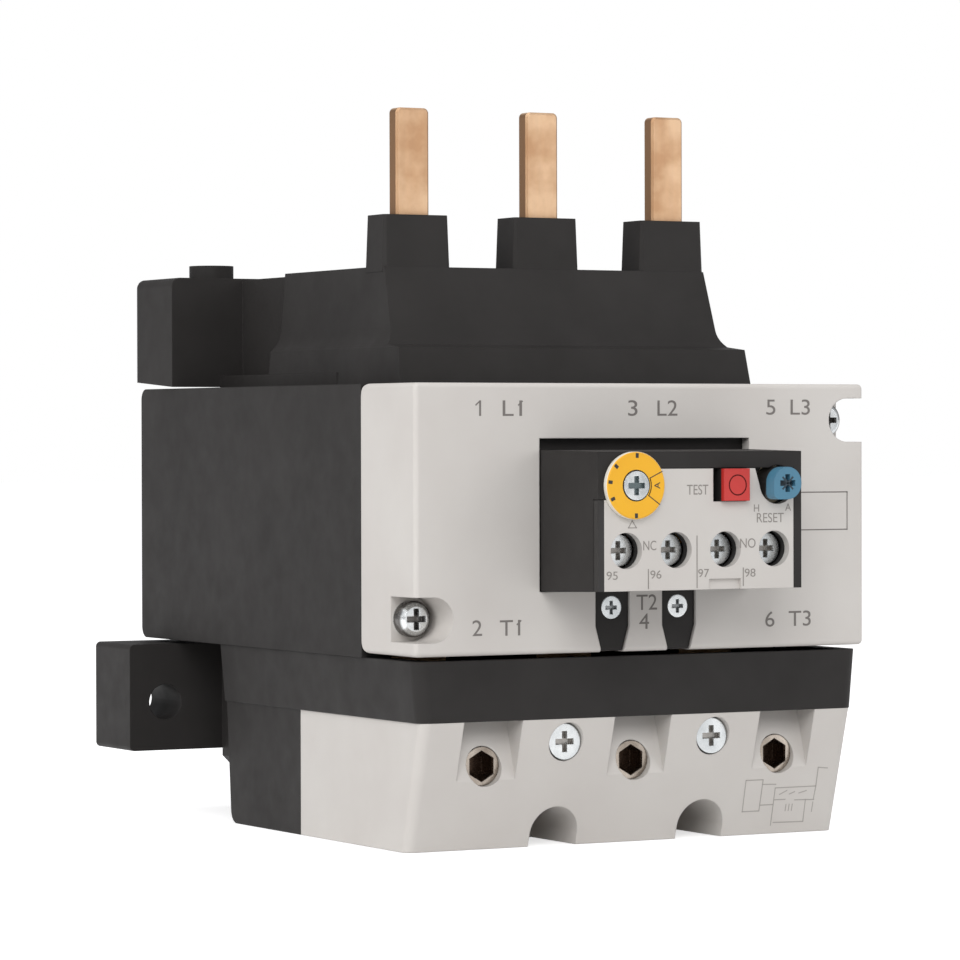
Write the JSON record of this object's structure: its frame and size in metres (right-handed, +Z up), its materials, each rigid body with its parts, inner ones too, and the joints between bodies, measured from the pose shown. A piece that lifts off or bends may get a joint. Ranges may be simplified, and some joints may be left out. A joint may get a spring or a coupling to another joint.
{
  "type": "thermal overload relay",
  "caption": "Plug-in thermal overload relay with flat line pins on top, clamp terminals below, a setting dial, a test button and a reset knob.",
  "frame": {"origin": "centre of the bounding box's base, on the surface the relay stands on", "axes": "Z up along the line pins, -Y towards the front panel, X along the row of poles"},
  "size_m": [0.1164, 0.1408, 0.1371],
  "materials": {
    "black_plastic": "fine-grained moulded black thermoplastic",
    "grey_plastic": "light warm grey moulded thermoplastic, satin",
    "inner_plastic": "natural beige technical plastic",
    "yellow_plastic": "satin yellow plastic with a pale rim",
    "red_plastic": "satin red plastic",
    "blue_plastic": "satin blue plastic",
    "bare_copper": "pale copper, drawn and lightly tumbled",
    "zinc_steel": "zinc-plated steel",
    "cage_steel": "yellowish passivated steel",
    "bimetal": "rolled bimetal strip",
    "heater_alloy": "oxidised resistance ribbon",
    "mica": "woven glass and mica sleeve",
    "spring_steel": "drawn spring wire",
    "contact_bronze": "rolled bronze strip with silver contacts"
  },
  "bodies": {
    "relay": {"main_housing": "black_plastic", "front_plate": "grey_plastic", "upper_housing": "black_plastic", "lower_housing": "black_plastic", "terminal_cover": "grey_plastic", "release_housing": "black_plastic", "release_panel": "grey_plastic", "plate_screws": "zinc_steel", "cover_screws": "zinc_steel", "lug_screws": "zinc_steel", "roof_screws": "zinc_steel", "floor_screws": "zinc_steel", "nc_terminals": "contact_bronze", "no_terminals": "contact_bronze", "test_spring": "spring_steel", "reset_spring": "spring_steel", "lever_pin": "zinc_steel", "line_bar_1": "bare_copper", "heater_coil_1": "heater_alloy", "bimetal_strip_1": "bimetal", "heater_sleeve_1": "mica", "load_bar_1": "bare_copper", "line_bar_2": "bare_copper", "heater_coil_2": "heater_alloy", "bimetal_strip_2": "bimetal", "heater_sleeve_2": "mica", "load_bar_2": "bare_copper", "line_bar_3": "bare_copper", "heater_coil_3": "heater_alloy", "bimetal_strip_3": "bimetal", "heater_sleeve_3": "mica", "load_bar_3": "bare_copper"},
    "dial_assembly": {"dial": "yellow_plastic", "dial_spindle": "zinc_steel"},
    "test_button": {"test_button": "red_plastic"},
    "reset_plunger": {"reset_plunger": "inner_plastic"},
    "reset_knob": {"reset_knob": "blue_plastic"},
    "trip_slide": {"trip_slide": "inner_plastic"},
    "trip_lever": {"trip_lever": "inner_plastic", "compensation_strip": "bimetal"},
    "contact_carrier": {"contact_carrier": "inner_plastic", "nc_bridge": "contact_bronze", "no_bridge": "contact_bronze"},
    "clamp_screw_1": {"clamp_screw_1": "cage_steel"},
    "clamp_cage_1": {"clamp_cage_1": "cage_steel"},
    "clamp_screw_2": {"clamp_screw_2": "cage_steel"},
    "clamp_cage_2": {"clamp_cage_2": "cage_steel"},
    "clamp_screw_3": {"clamp_screw_3": "cage_steel"},
    "clamp_cage_3": {"clamp_cage_3": "cage_steel"},
    "aux_clamp_plate_1": {"aux_clamp_plate_1": "zinc_steel"},
    "aux_screw_1": {"aux_screw_1": "zinc_steel"},
    "aux_clamp_plate_2": {"aux_clamp_plate_2": "zinc_steel"},
    "aux_screw_2": {"aux_screw_2": "zinc_steel"},
    "aux_clamp_plate_3": {"aux_clamp_plate_3": "zinc_steel"},
    "aux_screw_3": {"aux_screw_3": "zinc_steel"},
    "aux_clamp_plate_4": {"aux_clamp_plate_4": "zinc_steel"},
    "aux_screw_4": {"aux_screw_4": "zinc_steel"}
  },
  "joints": [
    {"name": "dial_turn", "type": "hinge", "parent": "relay", "child": "dial_assembly", "pos_m": [-0.0143, -0.0669, 0.06635], "axis": [0, -1, 0], "range_deg": [0, 180]},
    {"name": "test_press", "type": "slide", "parent": "relay", "child": "test_button", "axis": [0, 1, 0], "range_m": [0, 0.0015], "stiffness_N_per_m": 600, "springref_m": -0.001, "deforming": ["test_spring"]},
    {"name": "reset_press", "type": "slide", "parent": "relay", "child": "reset_plunger", "axis": [0, 1, 0], "range_m": [0, 0.0025], "stiffness_N_per_m": 600, "springref_m": -0.001, "deforming": ["reset_spring"]},
    {"name": "reset_turn", "type": "hinge", "parent": "reset_plunger", "child": "reset_knob", "pos_m": [0.0163, -0.0669, 0.0666], "axis": [0, -1, 0], "range_deg": [0, 90]},
    {"name": "slide_trip", "type": "slide", "parent": "relay", "child": "trip_slide", "axis": [1, 0, 0], "range_m": [0, 0.003], "stiffness_N_per_m": 200, "springref_m": -0.0005},
    {"name": "lever_turn", "type": "hinge", "parent": "relay", "child": "trip_lever", "pos_m": [-0.009, -0.0386, 0.052], "axis": [0, 0, -1], "range_deg": [0, 15.7]},
    {"name": "carrier_slide", "type": "slide", "parent": "relay", "child": "contact_carrier", "axis": [0, -1, 0], "range_m": [0, 0.00151]},
    {"name": "clamp_cage_1_slide", "type": "slide", "parent": "relay", "child": "clamp_cage_1", "axis": [0, -1, 0], "range_m": [0, 0.0075]},
    {"name": "clamp_screw_1_turn", "type": "hinge", "parent": "relay", "child": "clamp_screw_1", "pos_m": [-0.0315, -0.0326, 0.0153], "axis": [0, 1, 0], "range_deg": [0, 2162]},
    {"name": "clamp_cage_2_slide", "type": "slide", "parent": "relay", "child": "clamp_cage_2", "axis": [0, -1, 0], "range_m": [0, 0.0075]},
    {"name": "clamp_screw_2_turn", "type": "hinge", "parent": "relay", "child": "clamp_screw_2", "pos_m": [0, -0.0326, 0.0153], "axis": [0, 1, 0], "range_deg": [0, 2162]},
    {"name": "clamp_cage_3_slide", "type": "slide", "parent": "relay", "child": "clamp_cage_3", "axis": [0, -1, 0], "range_m": [0, 0.0075]},
    {"name": "clamp_screw_3_turn", "type": "hinge", "parent": "relay", "child": "clamp_screw_3", "pos_m": [0.0315, -0.0326, 0.0153], "axis": [0, 1, 0], "range_deg": [0, 2162]},
    {"name": "aux_plate_1_slide", "type": "slide", "parent": "relay", "child": "aux_clamp_plate_1", "axis": [0, 1, 0], "range_m": [0, 0.002]},
    {"name": "aux_screw_1_turn", "type": "hinge", "parent": "aux_clamp_plate_1", "child": "aux_screw_1", "pos_m": [-0.0156, -0.0616, 0.0547], "axis": [0, -1, 0], "range_deg": [-1202, 0]},
    {"name": "aux_plate_2_slide", "type": "slide", "parent": "relay", "child": "aux_clamp_plate_2", "axis": [0, 1, 0], "range_m": [0, 0.002]},
    {"name": "aux_screw_2_turn", "type": "hinge", "parent": "aux_clamp_plate_2", "child": "aux_screw_2", "pos_m": [-0.0052, -0.0616, 0.0547], "axis": [0, -1, 0], "range_deg": [-1202, 0]},
    {"name": "aux_plate_3_slide", "type": "slide", "parent": "relay", "child": "aux_clamp_plate_3", "axis": [0, 1, 0], "range_m": [0, 0.002]},
    {"name": "aux_screw_3_turn", "type": "hinge", "parent": "aux_clamp_plate_3", "child": "aux_screw_3", "pos_m": [0.0052, -0.0616, 0.0547], "axis": [0, -1, 0], "range_deg": [-1202, 0]},
    {"name": "aux_plate_4_slide", "type": "slide", "parent": "relay", "child": "aux_clamp_plate_4", "axis": [0, 1, 0], "range_m": [0, 0.002]},
    {"name": "aux_screw_4_turn", "type": "hinge", "parent": "aux_clamp_plate_4", "child": "aux_screw_4", "pos_m": [0.0156, -0.0616, 0.0547], "axis": [0, -1, 0], "range_deg": [-1202, 0]}
  ],
  "couplings": [
    {"joint": "lever_turn", "follows": "slide_trip", "rad_per_m": 90.909},
    {"joint": "carrier_slide", "follows": "slide_trip", "ratio": 0.5},
    {"joint": "clamp_screw_1_turn", "follows": "clamp_cage_1_slide", "rad_per_m": 5026.5},
    {"joint": "clamp_screw_2_turn", "follows": "clamp_cage_2_slide", "rad_per_m": 5026.5},
    {"joint": "clamp_screw_3_turn", "follows": "clamp_cage_3_slide", "rad_per_m": 5026.5},
    {"joint": "aux_screw_1_turn", "follows": "aux_plate_1_slide", "rad_per_m": -10472},
    {"joint": "aux_screw_2_turn", "follows": "aux_plate_2_slide", "rad_per_m": -10472},
    {"joint": "aux_screw_3_turn", "follows": "aux_plate_3_slide", "rad_per_m": -10472},
    {"joint": "aux_screw_4_turn", "follows": "aux_plate_4_slide", "rad_per_m": -10472}
  ]
}
